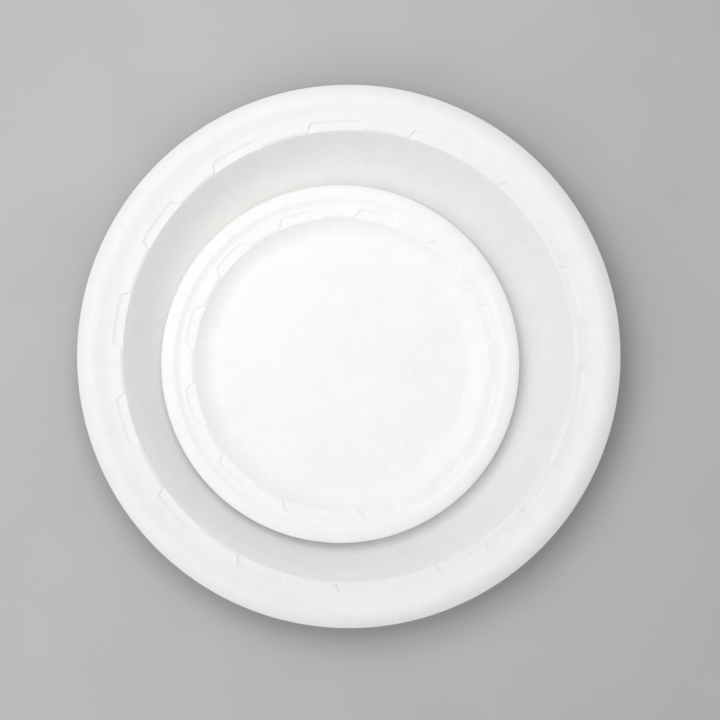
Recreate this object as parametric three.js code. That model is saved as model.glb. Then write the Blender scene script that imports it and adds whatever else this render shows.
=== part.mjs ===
// A pair of moulded disposable plates: a small one lying loose in the well of a large one.
// Millimetres, +Z up. The origin is the centre of the large plate's base, on the table.
import * as THREE from "three";

// Driving dimensions. Heights are those of the sheet's upper face above the plate's own base.
const largeSize = {
  sheet: 1.2, // thickness of the moulded sheet
  floorRadius: 78,
  wallRadius: 95.2, // top of the dished wall, where the shoulder begins
  wallHeight: 16.4,
  stepHeight: 0.7, // how far each recess lies below the pads
  recessReach: 3.3, // how far a recess runs outward from the wall
  riseStart: 97, // where the ring of pads begins to rise to the crown
  crownRadius: 108.2, // highest ring of the rim
  crownRise: 2.6, // from the pads up to the crown
  crownCurve: 9, // radius of the gently domed crown's section
  creaseRadius: 112.2, // where the lip turns down
  rimRadius: 114.3,
  lipDrop: 1, // from the crease down to the lip's edge
  recesses: 14,
  recessCentre: 93.5, // direction of one recess's middle, degrees from +X
  cornerWidth: 1.3, // degrees over which a recess's side crosses from one depth to the other
};

const smallSize = {
  sheet: 1.2,
  floorRadius: 53.4,
  wallRadius: 62.3,
  wallHeight: 6,
  stepHeight: 0.6,
  recessReach: 3.5,
  riseStart: 67,
  crownRadius: 71,
  crownRise: 1.3,
  crownCurve: 22,
  creaseRadius: 74.4,
  rimRadius: 76.2,
  lipDrop: 0.65,
  recesses: 12,
  recessCentre: 15.7,
  cornerWidth: 3.2,
};

// The small plate's place: a little off the large plate's axis, as it was set down.
const smallOffset = { x: -3.7, y: -3.2 };
const restingGap = 0.3; // clearance between the two sheets, which touch on the real pair

// The step at the top of the wall. In a recess a shelf runs out to the step; on a pad the wall
// carries on up to the pad with hardly a shelf at all.
const padShelf = { reach: 0.1, run: 0.8 };
const recessRun = 1.2;

// Above 1, it brings the steepest part of the ring's rise nearer to the crown.
const riseDelay = 1.5;

const wallPoints = 7;
const ringPoints = 4;
const crownPoints = 3;
const columnsPerHalf = 4; // columns of faces in a recess, and in a pad

// Height of the ring between the wall and the crown: the pads, easing up to the crown.
function ringHeight(size, radius) {
  const across = (radius - size.riseStart) / (size.crownRadius - size.riseStart);
  const part = THREE.MathUtils.clamp(across, 0, 1) ** riseDelay;
  const rise = THREE.MathUtils.smoothstep(part, 0, 1);
  return size.wallHeight + size.stepHeight + size.crownRise * rise;
}

// Upper outline of the sheet from the axis to the lip's edge, as points (radius, height).
function upperOutline(size, shelf) {
  const points = [new THREE.Vector2(0, size.sheet)];

  // Dished wall: level where it leaves the floor, steepest at its top.
  for (let i = 0; i <= wallPoints; i++) {
    const part = i / wallPoints;
    const radius = THREE.MathUtils.lerp(size.floorRadius, size.wallRadius, part);
    const height = THREE.MathUtils.lerp(size.sheet, size.wallHeight, part * part);
    points.push(new THREE.Vector2(radius, height));
  }

  // Shelf and step, then the ring, whose points are shared by the pads and the recesses.
  const stepFoot = size.wallRadius + shelf.reach;
  const stepHead = stepFoot + shelf.run;
  const ringStart = size.wallRadius + size.recessReach + recessRun;
  points.push(new THREE.Vector2(stepFoot, size.wallHeight));
  points.push(new THREE.Vector2(stepHead, ringHeight(size, stepHead)));
  for (let i = 1; i <= ringPoints; i++) {
    const radius = THREE.MathUtils.lerp(ringStart, size.crownRadius, i / ringPoints);
    points.push(new THREE.Vector2(radius, ringHeight(size, radius)));
  }

  // Domed crown, crease and turned-down lip.
  for (let i = 1; i <= crownPoints; i++) {
    const across = ((size.creaseRadius - size.crownRadius) * i) / crownPoints;
    const height = ringHeight(size, size.crownRadius) - across ** 2 / (2 * size.crownCurve);
    points.push(new THREE.Vector2(size.crownRadius + across, height));
  }
  const creaseHeight = points[points.length - 1].y;
  points.push(new THREE.Vector2(size.rimRadius, creaseHeight - size.lipDrop));
  return points;
}

// The same outline one sheet thickness further down, square to the sheet at every point.
function lowerOutline(points, sheet) {
  return points.map((point, i) => {
    const before = new THREE.Vector2().subVectors(point, points[Math.max(i - 1, 0)]);
    const after = new THREE.Vector2().subVectors(points[Math.min(i + 1, points.length - 1)], point);
    const first = i === 0 ? after : before;
    const second = i === points.length - 1 ? before : after;
    const down = downward(first).add(downward(second)).normalize();
    const reach = sheet / down.dot(downward(first));
    return point.clone().addScaledVector(down, reach);
  });
}

// Unit direction square to a segment of the outline, on its lower side.
function downward(segment) {
  return new THREE.Vector2(segment.y, -segment.x).normalize();
}

// Closed section of the sheet: out along the underside, and back along the upper side.
function section(size, shelf) {
  const upper = upperOutline(size, shelf);
  return [...lowerOutline(upper, size.sheet), ...upper.reverse()];
}

// Directions of the columns of faces, and whether each one lies in a recess.
function columns(size) {
  const half = 180 / size.recesses;
  const list = [];
  for (let step = 0; step < 2 * size.recesses; step++) {
    const start = size.recessCentre + (step - 0.5) * half + size.cornerWidth / 2;
    for (let i = 0; i < columnsPerHalf; i++) {
      const angle = start + ((half - size.cornerWidth) * i) / (columnsPerHalf - 1);
      list.push({ angle: THREE.MathUtils.degToRad(angle), inRecess: step % 2 === 0 });
    }
  }
  return list;
}

// A turned sheet whose columns take the recess section or the pad section by turns.
function plateGeometry(size) {
  const padSection = section(size, padShelf);
  const recessSection = section(size, { reach: size.recessReach, run: recessRun });
  const ring = columns(size);
  const geometry = new THREE.LatheGeometry(padSection, ring.length);
  const position = geometry.getAttribute("position");
  for (let index = 0; index < position.count; index++) {
    const column = ring[Math.floor(index / padSection.length) % ring.length];
    const shape = column.inRecess ? recessSection : padSection;
    const { x: radius, y: height } = shape[index % padSection.length];
    position.setXYZ(index, radius * Math.cos(column.angle), radius * Math.sin(column.angle), height);
  }
  geometry.computeVertexNormals();
  return geometry;
}

function pulp(name) {
  return new THREE.MeshStandardMaterial({ name, color: 0xf2f1ee, roughness: 0.85, metalness: 0 });
}

function largePlate() {
  const mesh = new THREE.Mesh(plateGeometry(largeSize), pulp("large_pulp"));
  mesh.name = "large_plate";
  return mesh;
}

function smallPlate() {
  const mesh = new THREE.Mesh(plateGeometry(smallSize), pulp("small_pulp"));
  mesh.name = "small_plate";
  mesh.position.set(smallOffset.x, smallOffset.y, largeSize.sheet + restingGap);
  return mesh;
}

const group = new THREE.Group();
group.add(largePlate(), smallPlate());

export default group;
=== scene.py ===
import math

import bpy
import numpy as np
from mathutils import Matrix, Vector, noise


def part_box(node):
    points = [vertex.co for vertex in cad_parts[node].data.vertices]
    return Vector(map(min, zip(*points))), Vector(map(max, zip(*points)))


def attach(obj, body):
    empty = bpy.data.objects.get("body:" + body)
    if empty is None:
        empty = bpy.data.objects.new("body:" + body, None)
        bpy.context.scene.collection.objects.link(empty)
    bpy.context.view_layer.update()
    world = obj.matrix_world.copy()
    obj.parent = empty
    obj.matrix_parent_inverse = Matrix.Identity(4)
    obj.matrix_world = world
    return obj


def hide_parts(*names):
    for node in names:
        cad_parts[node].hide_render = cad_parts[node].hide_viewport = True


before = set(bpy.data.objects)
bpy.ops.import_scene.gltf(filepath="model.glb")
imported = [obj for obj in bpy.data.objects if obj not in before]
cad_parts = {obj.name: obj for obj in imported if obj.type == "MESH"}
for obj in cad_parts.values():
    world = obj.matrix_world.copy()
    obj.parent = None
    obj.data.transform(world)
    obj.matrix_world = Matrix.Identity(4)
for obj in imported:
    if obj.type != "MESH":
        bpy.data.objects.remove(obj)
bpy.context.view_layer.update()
MM = 0.001

# ---------------------------------------------------------------- driving dimensions

# Radii from each plate's axis. Heights are of the sheet's upper face, above the plate's own base.
LARGE = {
    "sheet": 1.2,  # thickness of the moulded sheet
    "floor": 78.0,
    "wall": 95.2,  # top of the dished wall, where the shoulder begins
    "wall_height": 16.4,
    "step": 0.7,  # how far each recess lies below the pads
    "recess": 3.3,  # how far a recess runs outward from the wall
    "rise": 97.0,  # where the ring of pads begins to rise to the crown
    "crown": 108.2,  # highest ring of the rim
    "crown_rise": 2.6,  # from the pads up to the crown
    "crown_curve": 9.0,  # radius of the domed crown's section
    "crease": 112.2,  # where the lip turns down
    "crease_round": 0.8,
    "rim": 114.3,
    "lip_drop": 1.0,  # from the crease down to the lip's edge
    "recesses": 14,
    "recess_centre": 93.5,  # direction of one recess's middle, degrees from +X
    "corner": 1.3,  # degrees over which a recess's side crosses from one depth to the other
}
SMALL = {
    "sheet": 1.2,
    "floor": 53.4,
    "wall": 62.3,
    "wall_height": 6.0,
    "step": 0.6,
    "recess": 3.5,
    "rise": 67.0,
    "crown": 71.0,
    "crown_rise": 1.3,
    "crown_curve": 22.0,
    "crease": 74.4,
    "crease_round": 1.2,
    "rim": 76.2,
    "lip_drop": 0.65,
    "recesses": 12,
    "recess_centre": 15.7,
    "corner": 3.2,
}
PAD_SHELF = 0.1  # what is left of the shelf where a pad comes right in to the wall
PAD_RUN = 0.8  # how far the step to a pad slopes
RECESS_RUN = 1.2  # and the step at the back of a recess
RISE_DELAY = 1.5  # above 1, it brings the steepest part of the ring's rise nearer to the crown
BRIM_ROUND = 0.45  # at the top of the wall
STEP_ROUND = 0.5
EDGE_ROUND = 0.35  # the trimmed edge of the sheet
LEAST_ROUND = 0.3  # the tightest rounding on the inside of a bend in the sheet
ARC_ROOM = 0.45  # how much of the stretch on either side of a corner its arc may take up

# Slow waves in the pressed sheet: the length and height of each.
SHEET_WAVES = ((70, 0.16), (26, 0.06))
FLOOR_WAVE_SHARE = 0.25  # how much of them is left in the flat floor

# How finely each stretch of the section and of the ring is divided.
FLOOR_RINGS = 12
WALL_RINGS = 18
RING_RINGS = 14
DOME_RINGS = 8
ARC_STEPS = 4
CORNER_COLUMNS = 6
PLAIN_COLUMNS = 10


# ---------------------------------------------------------------- the sheet's section

def lerp(a, b, t):
    return a + (b - a) * t


def smoothstep(t):
    t = np.clip(t, 0.0, 1.0)
    return t * t * (3 - 2 * t)


def ring_height(size, radius):
    """Height of the ring between the wall and the crown: the pads, easing up to the crown."""
    across = np.clip((radius - size["rise"]) / (size["crown"] - size["rise"]), 0, 1)
    return size["wall_height"] + size["step"] + size["crown_rise"] * smoothstep(across ** RISE_DELAY)


def upper_corners(size, shelf, run):
    """The upper face from the axis to the lip's edge: rows of radius, height and rounding."""

    # The floor, and a dished wall that is level where it leaves it and steepest at its top.
    corners = [(radius, size["sheet"], 0) for radius in np.linspace(0, size["floor"], FLOOR_RINGS)]
    for part in np.linspace(0, 1, WALL_RINGS + 1)[1:-1]:
        radius = lerp(size["floor"], size["wall"], part)
        corners.append((radius, lerp(size["sheet"], size["wall_height"], part ** 2), 0))

    # The shelf, the step up to the ring, and the ring.
    foot = size["wall"] + shelf
    head = foot + run
    corners.append((size["wall"], size["wall_height"], BRIM_ROUND))
    corners.append((foot, size["wall_height"], STEP_ROUND))
    corners.append((head, ring_height(size, head), STEP_ROUND))
    for radius in np.linspace(head, size["crown"], RING_RINGS + 1)[1:]:
        corners.append((radius, ring_height(size, radius), 0))

    # The crown's dome, the crease and the turned-down lip.
    across = (size["crease"] - size["crown"]) * np.linspace(0, 1, DOME_RINGS + 1)[1:]
    dome = ring_height(size, size["crown"]) - across ** 2 / (2 * size["crown_curve"])
    corners += [(size["crown"] + a, height, 0) for a, height in zip(across[:-1], dome)]
    corners.append((size["crease"], dome[-1], size["crease_round"]))
    corners.append((size["rim"], dome[-1] - size["lip_drop"], EDGE_ROUND))
    return np.array(corners, float)


def directions(points):
    """Unit direction into and out of each point of an open line."""
    steps = np.diff(points, axis=0)
    steps /= np.linalg.norm(steps, axis=1)[:, None]
    return np.vstack([steps[:1], steps]), np.vstack([steps, steps[-1:]])


def lower_corners(upper, sheet):
    """The same line one sheet thickness further down, square to the sheet, rounded to match."""
    into, out = directions(upper[:, :2])
    down_into = np.column_stack([into[:, 1], -into[:, 0]])
    down_out = np.column_stack([out[:, 1], -out[:, 0]])
    down = down_into + down_out
    down /= np.linalg.norm(down, axis=1)[:, None]
    reach = sheet / np.sum(down * down_into, axis=1)
    turn = into[:, 0] * out[:, 1] - into[:, 1] * out[:, 0]
    rounding = np.where(turn > 0, upper[:, 2] + sheet, np.maximum(upper[:, 2] - sheet, LEAST_ROUND))
    rounding = np.where(upper[:, 2] > 0, rounding, 0)
    rounding[-1] = EDGE_ROUND
    lower = upper[:, :2] + down * reach[:, None]
    lower[0, 0] = 0
    return np.column_stack([lower, rounding])


def rounded(corners):
    """The line with an arc at each corner that has a rounding: the same number of points each time."""
    into, out = directions(corners[:, :2])
    lengths = np.linalg.norm(np.diff(corners[:, :2], axis=0), axis=1)
    points = []
    for i, (radius, height, rounding) in enumerate(corners):
        here = np.array([radius, height])
        if not rounding:
            points.append(here)
            continue
        half_turn = math.acos(np.clip(np.dot(into[i], out[i]), -1, 1)) / 2
        weight = math.cos(half_turn)
        room = ARC_ROOM * min(lengths[i - 1], lengths[i])
        tangent = min(rounding * math.tan(half_turn), room)
        start = here - into[i] * tangent
        end = here + out[i] * tangent
        for part in np.linspace(0, 1, ARC_STEPS + 1):
            # A rational quadratic curve, which is a true arc for this weight of the corner.
            a, b, c = (1 - part) ** 2, 2 * part * (1 - part) * weight, part ** 2
            points.append((a * start + b * here + c * end) / (a + b + c))
    return np.array(points)


def section(size, shelf, run):
    """Closed section from the axis out along the underside and back along the upper face."""
    upper = upper_corners(size, shelf, run)
    lower = lower_corners(upper, size["sheet"])
    return rounded(np.vstack([lower, upper[::-1]]))


# ---------------------------------------------------------------- the plates' meshes

def column_angles(size):
    """Directions of the mesh's columns, close together where a recess begins and ends."""
    half = 180 / size["recesses"]
    angles = []
    for i in range(2 * size["recesses"]):
        boundary = size["recess_centre"] + (i - 0.5) * half
        corner = boundary + size["corner"] * np.linspace(-0.5, 0.5, CORNER_COLUMNS + 1)
        plain = np.linspace(corner[-1], boundary + half - size["corner"] / 2, PLAIN_COLUMNS + 1)
        angles += [*corner[:-1], *plain[:-1]]
    return np.array(angles)


def recess_share(size, angles):
    """1 in a recess, 0 on a pad, with a smooth change across each corner."""
    period = 360 / size["recesses"]
    off = np.abs((angles - size["recess_centre"] + period / 2) % period - period / 2)
    return 1 - smoothstep((off - period / 4) / size["corner"] + 0.5)


def unevenness(size, x, y):
    """Slow rise and fall of a pressed sheet, least in the floor and most at the rim."""
    wave = 0.0
    for length, height in SHEET_WAVES:
        place = Vector((x / length, y / length, size["rim"]))
        wave += height * noise.noise(place)
    rim_share = smoothstep((math.hypot(x, y) - size["floor"]) / (size["rim"] - size["floor"]))
    return wave * lerp(FLOOR_WAVE_SHARE, 1, rim_share)


def plate_mesh(name, size, centre, base):
    """The plate as one closed surface of quads, with a fan of triangles round each end of its axis."""
    pad = section(size, PAD_SHELF, PAD_RUN)
    recess = section(size, size["recess"], RECESS_RUN)
    angles = column_angles(size)
    share = recess_share(size, angles)[:, None]
    radius = lerp(pad[:, 0], recess[:, 0], share)[:, 1:-1]
    height = lerp(pad[:, 1], recess[:, 1], share)[:, 1:-1]
    turn = np.radians(angles)[:, None]
    ring = np.stack([radius * np.cos(turn), radius * np.sin(turn), height], axis=2)
    columns, rows = radius.shape
    poles = [[0, 0, pad[0, 1]], [0, 0, pad[-1, 1]]]
    points = np.vstack([ring.reshape(-1, 3), poles])
    points[:, 2] += [unevenness(size, x, y) for x, y in points[:, :2]]
    points = points * MM + np.array([centre.x, centre.y, base])

    faces = []
    bottom, top = columns * rows, columns * rows + 1
    for i in range(columns):
        this, after = i * rows, (i + 1) % columns * rows
        faces.append((bottom, after, this))
        faces += [(this + j, after + j, after + j + 1, this + j + 1) for j in range(rows - 1)]
        faces.append((top, this + rows - 1, after + rows - 1))
    mesh = bpy.data.meshes.new(name)
    mesh.from_pydata(points.tolist(), [], faces)
    mesh.shade_smooth()

    # For the materials: 1 on the underside and 0 on the upper face, the two ends of the axis last.
    under = np.zeros((columns, rows), np.float32)
    under[:, : rows // 2] = 1
    layer = mesh.attributes.new("underside", "FLOAT", "POINT")
    layer.data.foreach_set("value", np.append(under.ravel(), [1, 0]).astype(np.float32))
    piece = bpy.data.objects.new(name, mesh)
    bpy.context.scene.collection.objects.link(piece)
    return piece


def plate(name, size, node, body, material):
    """A finer plate in the place of its CAD node, riding on the same body."""
    low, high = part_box(node)
    piece = plate_mesh(name, size, (low + high) / 2, low.z)
    piece.data.materials.append(material)
    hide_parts(node)
    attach(piece, body)
    return piece


# ---------------------------------------------------------------- materials

class Nodes:
    """A material's node tree, with a short call for each kind of node that is used here."""

    def __init__(self, name):
        self.material = bpy.data.materials.new(name)
        self.material.use_nodes = True
        self.tree = self.material.node_tree
        self.shader = self.tree.nodes["Principled BSDF"]

    def add(self, kind, **settings):
        node = self.tree.nodes.new(kind)
        for key, value in settings.items():
            setattr(node, key, value)
        return node

    def feed(self, socket, value):
        if isinstance(value, bpy.types.NodeSocket):
            self.tree.links.new(value, socket)
        else:
            socket.default_value = value

    def noise(self, place, size, detail=3.0, distortion=0.0):
        """Noise with lumps of about the given size, in metres."""
        node = self.add("ShaderNodeTexNoise")
        self.feed(node.inputs["Vector"], place)
        self.feed(node.inputs["Scale"], 1 / size)
        self.feed(node.inputs["Detail"], detail)
        self.feed(node.inputs["Distortion"], distortion)
        return node.outputs["Fac"]

    def math(self, operation, a, b=0.0):
        node = self.add("ShaderNodeMath", operation=operation)
        self.feed(node.inputs[0], a)
        self.feed(node.inputs[1], b)
        return node.outputs["Value"]

    def remap(self, value, low, high, to_low, to_high):
        node = self.add("ShaderNodeMapRange")
        for key, number in zip(("Value", "From Min", "From Max", "To Min", "To Max"),
                               (value, low, high, to_low, to_high)):
            self.feed(node.inputs[key], number)
        return node.outputs["Result"]

    def mix(self, share, a, b):
        node = self.add("ShaderNodeMix", data_type="RGBA")
        self.feed(node.inputs[0], share)
        self.feed(node.inputs[6], a)
        self.feed(node.inputs[7], b)
        return node.outputs[2]

    def bump(self, height, depth, below=None):
        """A bump whose whole height stands for the given depth, in metres."""
        node = self.add("ShaderNodeBump")
        self.feed(node.inputs["Distance"], depth)
        self.feed(node.inputs["Height"], height)
        if below is not None:
            self.feed(node.inputs["Normal"], below)
        return node.outputs["Normal"]


# The marks in the pulp: how large each kind is, and how far it stands out.
CLOUD_SIZE = 0.009
PATCH_SIZE = 0.045
FIBRE_SIZE = 0.0016
GRAIN_SIZE = 0.0005
WIRE_PITCH = 0.0008
CLOUD_RELIEF = 0.00014
FIBRE_RELIEF = 0.00008
STRAND_RELIEF = 0.000015
GRAIN_RELIEF = 0.00003
WIRE_RELIEF = 0.00003

# How much each kind of mark counts in the sheet's tone, adding up to 1.
CLOUD_SHARE = 0.45
PATCH_SHARE = 0.25
FIBRE_SHARE = 0.3

STRAND_WIDTH = 0.035  # of the fibre noise's range, on either side of its middle
STRAND_TINT = (0.72, 0.705, 0.66, 1)
STRAND_STRENGTH = 0.4

TONE_RANGE = (0.35, 0.65)  # from the darkest pulp to the lightest
FIBRE_RANGE = (0.3, 0.7)  # from the smoothest pulp to the roughest
ROUGHNESS = (0.58, 0.72)
UNDERSIDE_ROUGHER = 0.14
SHINE = 0.4


def pulp(name, light, dark, offset):
    """White moulded fibre: clouds, fibres and thin strands, and a wire mesh's print underneath."""
    n = Nodes(name)
    coordinates = n.add("ShaderNodeTexCoord").outputs["Object"]
    shift = n.add("ShaderNodeVectorMath", operation="ADD")
    n.feed(shift.inputs[0], coordinates)
    n.feed(shift.inputs[1], offset)
    place = shift.outputs[0]
    under = n.add("ShaderNodeAttribute", attribute_name="underside").outputs["Fac"]

    clouds = n.noise(place, CLOUD_SIZE, detail=4)
    patches = n.noise(place, PATCH_SIZE, detail=2)
    fibres = n.noise(place, FIBRE_SIZE, detail=3, distortion=2.5)
    grain = n.noise(place, GRAIN_SIZE, detail=2)

    # Strands are the thin lines along which the fibre noise passes through its middle value.
    off_middle = n.math("ABSOLUTE", n.math("SUBTRACT", fibres, 0.5))
    strands = n.remap(off_middle, 0.0, STRAND_WIDTH, 1.0, 0.0)

    cloud_tone = n.math("MULTIPLY", clouds, CLOUD_SHARE)
    patch_tone = n.math("MULTIPLY", patches, PATCH_SHARE)
    fibre_tone = n.math("MULTIPLY", fibres, FIBRE_SHARE)
    tone = n.math("ADD", n.math("ADD", cloud_tone, patch_tone), fibre_tone)
    sheet = n.mix(n.remap(tone, *TONE_RANGE, 0.0, 1.0), dark, light)
    strand_share = n.math("MULTIPLY", strands, STRAND_STRENGTH)
    n.feed(n.shader.inputs["Base Color"], n.mix(strand_share, sheet, STRAND_TINT))

    pressed = n.remap(fibres, *FIBRE_RANGE, *ROUGHNESS)
    rough = n.math("ADD", pressed, n.math("MULTIPLY", under, UNDERSIDE_ROUGHER))
    n.feed(n.shader.inputs["Roughness"], rough)
    n.shader.inputs["Specular IOR Level"].default_value = SHINE

    axes = n.add("ShaderNodeSeparateXYZ")
    n.feed(axes.inputs[0], coordinates)
    turns = 2 * math.pi / WIRE_PITCH
    wires = [n.math("SINE", n.math("MULTIPLY", axes.outputs[axis], turns)) for axis in "XY"]
    wire_print = n.math("MULTIPLY", n.math("MULTIPLY", *wires), under)

    surface = n.bump(clouds, CLOUD_RELIEF)
    surface = n.bump(fibres, FIBRE_RELIEF, surface)
    surface = n.bump(strands, STRAND_RELIEF, surface)
    surface = n.bump(grain, GRAIN_RELIEF, surface)
    surface = n.bump(wire_print, WIRE_RELIEF, surface)
    n.feed(n.shader.inputs["Normal"], surface)
    return n.material


# ---------------------------------------------------------------- stage, lights and camera

STAGE_SIZE = 20
STAGE_GAP = 0.0002  # between the stage and the large plate's base
STAGE_TONES = ((0.45, 0.45, 0.45, 1), (0.47, 0.47, 0.47, 1))
STAGE_BLOTCH = 0.05
STAGE_ROUGHNESS = 0.8
LAMP_TARGET = (0, 0, 0.01)
CAMERA_PLACE = (0.0047, -0.0015, 0.8)
CAMERA_LENS = 93.1  # this and the sensor's width are in millimetres
CAMERA_SENSOR = 36


def pale_floor():
    bpy.ops.mesh.primitive_plane_add(size=STAGE_SIZE, location=(0, 0, -STAGE_GAP))
    floor = bpy.context.object
    floor.name = "studio_floor"
    n = Nodes("pale_floor")
    place = n.add("ShaderNodeTexCoord").outputs["Object"]
    tone = n.remap(n.noise(place, STAGE_BLOTCH), 0.3, 0.7, 0.0, 1.0)
    n.feed(n.shader.inputs["Base Color"], n.mix(tone, *STAGE_TONES))
    n.shader.inputs["Roughness"].default_value = STAGE_ROUGHNESS
    floor.data.materials.append(n.material)


def aim(thing, place, target):
    """Put a lamp at a place, turned towards a target."""
    thing.location = place
    thing.rotation_euler = (Vector(target) - Vector(place)).to_track_quat("-Z", "Y").to_euler()


def soft_light(name, direction, elevation, distance, side, power):
    """A square soft box aimed at the plates, its direction in degrees from +X. It isn't seen itself."""
    data = bpy.data.lights.new(name, "AREA")
    data.shape = "SQUARE"
    data.size = side
    data.energy = power
    lamp = bpy.data.objects.new(name, data)
    lamp.visible_camera = False
    bpy.context.scene.collection.objects.link(lamp)
    turn, rise = math.radians(direction), math.radians(elevation)
    level = distance * math.cos(rise)
    place = (level * math.cos(turn), level * math.sin(turn), distance * math.sin(rise))
    aim(lamp, place, LAMP_TARGET)


def surroundings(grey):
    """An even grey all round, and the plain view transform that the greys are meant for."""
    world = bpy.data.worlds.new("studio")
    world.use_nodes = True
    background = world.node_tree.nodes["Background"]
    background.inputs["Color"].default_value = (grey, grey, grey, 1)
    bpy.context.scene.world = world
    bpy.context.scene.view_settings.view_transform = "Standard"


def overhead_camera():
    """Straight above the plates, a little off the large one's axis."""
    data = bpy.data.cameras.new("overhead")
    data.sensor_width = CAMERA_SENSOR
    data.lens = CAMERA_LENS
    camera = bpy.data.objects.new("overhead", data)
    camera.location = CAMERA_PLACE
    bpy.context.scene.collection.objects.link(camera)
    bpy.context.scene.camera = camera


# ---------------------------------------------------------------- the scene

overhead_camera()
surroundings(0.61)
soft_light("upper_left", direction=120, elevation=70, distance=0.42, side=0.3, power=0.88)
soft_light("lower_left", direction=225, elevation=35, distance=0.6, side=0.5, power=0.65)
pale_floor()

# Both plates are the same white pulp. The large plate's colours are about 6 per cent darker than the
# small plate's: painted shade, matched to the lesser light that plate gets.
large_pulp = pulp("large_pulp", light=(0.825, 0.823, 0.815, 1), dark=(0.785, 0.782, 0.77, 1),
                  offset=(0, 0, 0))
plate("large_plate_pulp", LARGE, "large_plate", "large", large_pulp)

small_pulp = pulp("small_pulp", light=(0.88, 0.878, 0.87, 1), dark=(0.84, 0.837, 0.825, 1),
                  offset=(0.3, 0.1, 0.2))
plate("small_plate_pulp", SMALL, "small_plate", "small", small_pulp)
